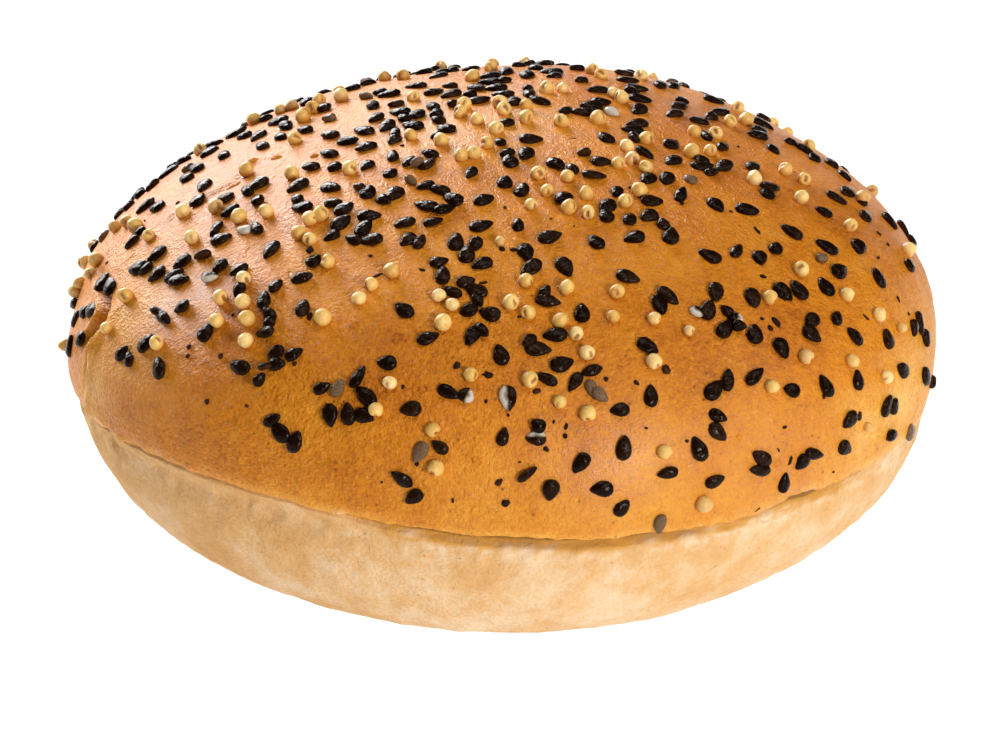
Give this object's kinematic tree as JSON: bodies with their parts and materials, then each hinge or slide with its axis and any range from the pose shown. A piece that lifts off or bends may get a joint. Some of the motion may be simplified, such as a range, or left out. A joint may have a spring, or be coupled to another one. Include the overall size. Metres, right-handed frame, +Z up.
{
  "type": "bread roll",
  "caption": "Round soft bread roll with a browned, domed and seeded crown overhanging a pale rounded base, uncut, standing on its flat underside.",
  "frame": {"origin": "centre of the outline, on the flat underside", "axes": "+Z up from the underside to the top of the crown; -Y faces the viewer of the picture"},
  "size_m": [0.1202, 0.1198, 0.0527],
  "materials": {
    "crust": "baked crust, satin from an egg wash on the crown, matt and pale on the base"
  },
  "bodies": {
    "root": {"bread_roll": "crust"}
  },
  "joints": []
}
